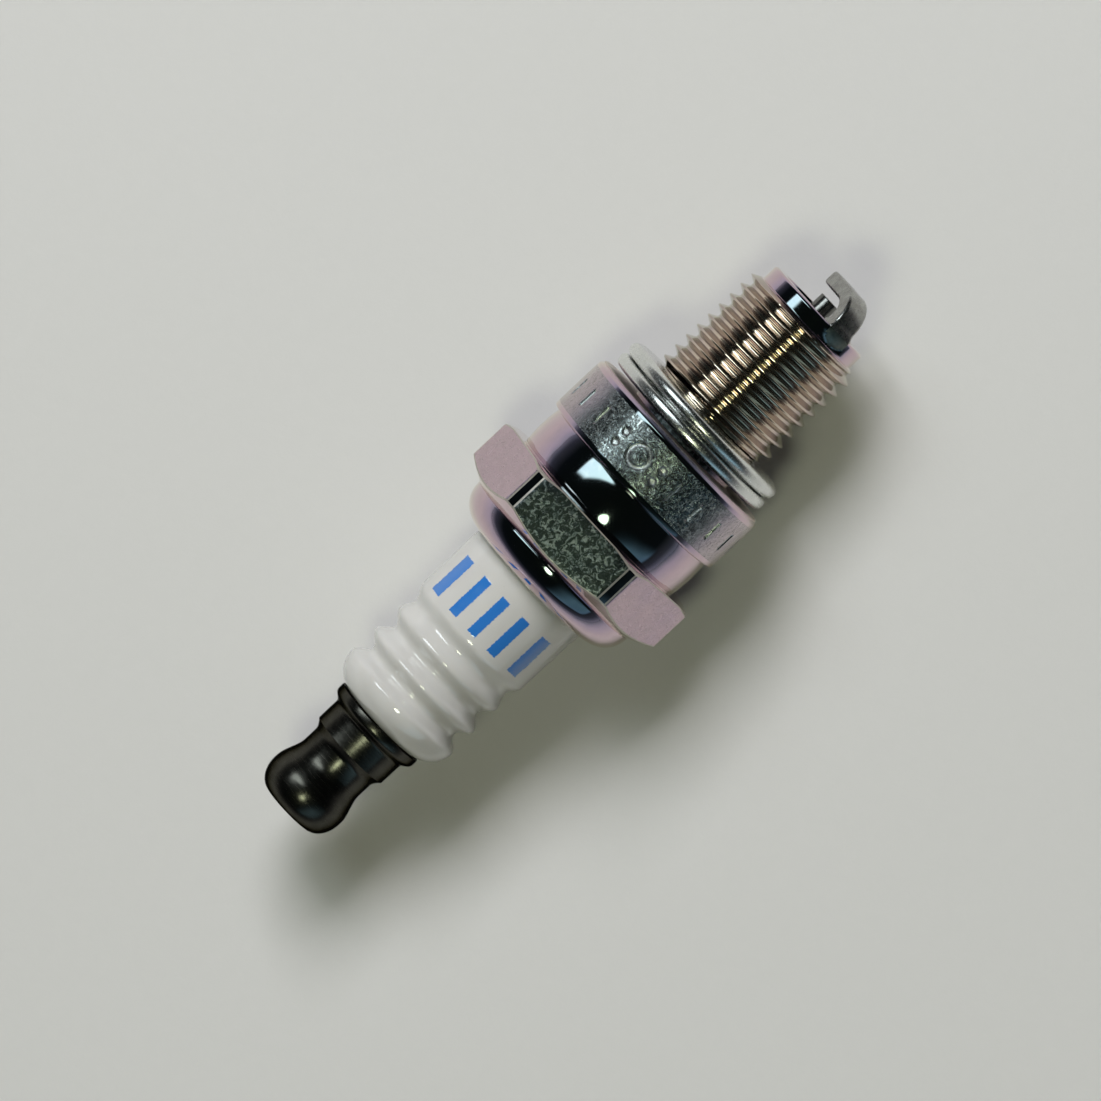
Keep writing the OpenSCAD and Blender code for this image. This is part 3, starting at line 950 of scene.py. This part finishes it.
def make_room():
    """The table that the hexagon rests on, the lights and the reflections."""
    floor_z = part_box("metal_shell")[0].z
    half = 1.5
    corners = ((-half, -half), (half, -half), (half, half), (-half, half))
    mesh = bpy.data.meshes.new("table")
    mesh.from_pydata([(x, y, floor_z) for x, y in corners], [], [(0, 1, 2, 3)])
    mesh.materials.append(table_top())
    table = bpy.data.objects.new("table", mesh)
    bpy.context.scene.collection.objects.link(table)

    soft_light("window", 39, 40, 0.60, (0.26, 0.22), 2.97, (1.0, 1.0, 1.04))
    soft_light("lamp", 252, 22, 0.70, (0.18, 0.18), 0.455, (1.0, 0.99, 0.80))
    soft_light("fill", 0, 0, 0.90, (1.3, 1.3), 0.23, (1.0, 0.99, 0.88))
    make_reflections()
    bpy.context.scene.view_settings.view_transform = "Standard"


def make_reflections():
    """A dark room with one window, a small lamp and a faint glow for bright metal; the camera sees grey."""
    world = bpy.data.worlds.new("room")
    world.use_nodes = True
    bpy.context.scene.world = world
    room = Graph(world.node_tree)
    background = room.tree.nodes["Background"]
    direction = room.node("ShaderNodeTexCoord").outputs["Generated"]
    x, y, z = room.parts(direction)
    height = room.math("MAXIMUM", z, 0.02)
    to_x = room.math("DIVIDE", x, height)
    to_y = room.math("DIVIDE", y, height)

    def between(value, low, high, soft):
        rise_start, rise_end = room.math("SUBTRACT", low, soft), room.math("ADD", low, soft)
        rise = room.stretch(value, rise_start, rise_end, smooth=True)
        fall_end, fall_start = room.math("ADD", high, soft), room.math("SUBTRACT", high, soft)
        fall = room.stretch(value, fall_end, fall_start, smooth=True)
        return room.math("MULTIPLY", rise, fall)

    def tan(degrees):
        return math.tan(math.radians(degrees))

    wide = room.stretch(to_y, tan(14), tan(40), 0.03, 0.25)
    centre = room.stretch(to_y, tan(14), tan(50), 0.21, 0.14)
    window_y = between(to_y, tan(14), tan(51), 0.05)
    left, right = room.math("SUBTRACT", centre, wide), room.math("ADD", centre, wide)
    window = room.math("MULTIPLY", window_y, between(to_x, left, right, 0.035))
    from_lamp_x = room.math("DIVIDE", room.math("SUBTRACT", to_x, tan(-15.6)), 0.11)
    from_lamp_y = room.math("DIVIDE", room.math("SUBTRACT", to_y, tan(-6.8)), 0.10)
    from_lamp = room.math("ADD", room.math("MULTIPLY", from_lamp_x, from_lamp_x),
                          room.math("MULTIPLY", from_lamp_y, from_lamp_y))
    lamp = room.stretch(from_lamp, 1.25, 0.75, smooth=True)
    glow = room.math("MULTIPLY", between(to_y, tan(-74), tan(-40), 0.45), between(to_x, -2.2, -0.36, 0.26))
    colour = room.ramp(
        z,
        (0.0, (0.36, 0.36, 0.35)),
        (0.12, (0.10, 0.10, 0.105)),
        (0.35, (0.012, 0.015, 0.016)),
        (1.0, (0.010, 0.012, 0.011)))
    colour = room.mix(glow, colour, (0.25, 0.40, 0.49))
    colour = room.mix(lamp, colour, (11.0, 12.0, 8.5))
    colour = room.mix(window, colour, (4.3, 4.8, 5.0))
    rays = room.node("ShaderNodeLightPath")
    colour = room.mix(rays.outputs["Is Diffuse Ray"], colour, (0.015, 0.015, 0.015))
    colour = room.mix(rays.outputs["Is Camera Ray"], colour, (0.50, 0.50, 0.48))
    room.join(colour, background.inputs["Color"])


# ---------------------------------------------------------------- the plug

make_camera()
make_room()

metal_shell([
    plating("plating_smooth", CHROMATE_VIOLET, 0.06, ripple=0.012),
    plating("plating_flats", CHROMATE_VIOLET, 0.30, scuff=0.008, dull=0.9),
    plating("plating_collar", CHROMATE_GREY, 0.22, grain=0.003, scuff=0.014, dull=0.6),
    plating("plating_thread", CHROMATE_BRONZE, 0.09, grain=0.002),
    # Light strips on the hexagon's edges: worn metal and a painted edge highlight
    powder("worn_edge_and_highlight", (0.60, 0.56, 0.50), (0.46, 0.42, 0.37), 5.0, 0.45, 0.8),
    nickel("weld_bead", (0.20, 0.22, 0.20), (0.10, 0.115, 0.105), 0.38),
    # Recess plating: its dark crystals are painted shade in the gap between the collar and the gasket
    plating("plating_recess_painted_shade", CHROMATE_VIOLET, 0.45, dull=0.9),
    powder("stamp_floor", (0.58, 0.62, 0.60), (0.36, 0.39, 0.38), 6.0, 0.30, 0.95),
])
gasket(tinned_steel())
insulator(glaze())
terminal(dark_steel())
centre_electrode(nickel("electrode_tip", (0.22, 0.22, 0.21), (0.14, 0.14, 0.13), 0.22))
ground_strap(nickel("strap_nickel", (0.44, 0.44, 0.42), (0.31, 0.30, 0.29), 0.28))

dress("upper_glass_seal", powder("seal_glass", (0.24, 0.16, 0.11), (0.10, 0.08, 0.07), 4.0, 0.6, 0.3))
dress("lower_glass_seal", bpy.data.materials["seal_glass"])
dress("resistor", powder("resistor_glass", (0.14, 0.14, 0.15), (0.05, 0.05, 0.05), 4.0, 0.7))
dress("center_electrode_core", wire("copper", (0.80, 0.42, 0.27), (0.62, 0.30, 0.19)))
dress("upper_packing_ring", wire("packing_steel", (0.56, 0.56, 0.55), (0.42, 0.42, 0.41)))
dress("lower_packing_ring", bpy.data.materials["packing_steel"])
dress("seat_packing", bpy.data.materials["packing_steel"])
dress("talc_filling", powder("talc", (0.80, 0.79, 0.76), (0.66, 0.65, 0.62), 3.0, 0.9))
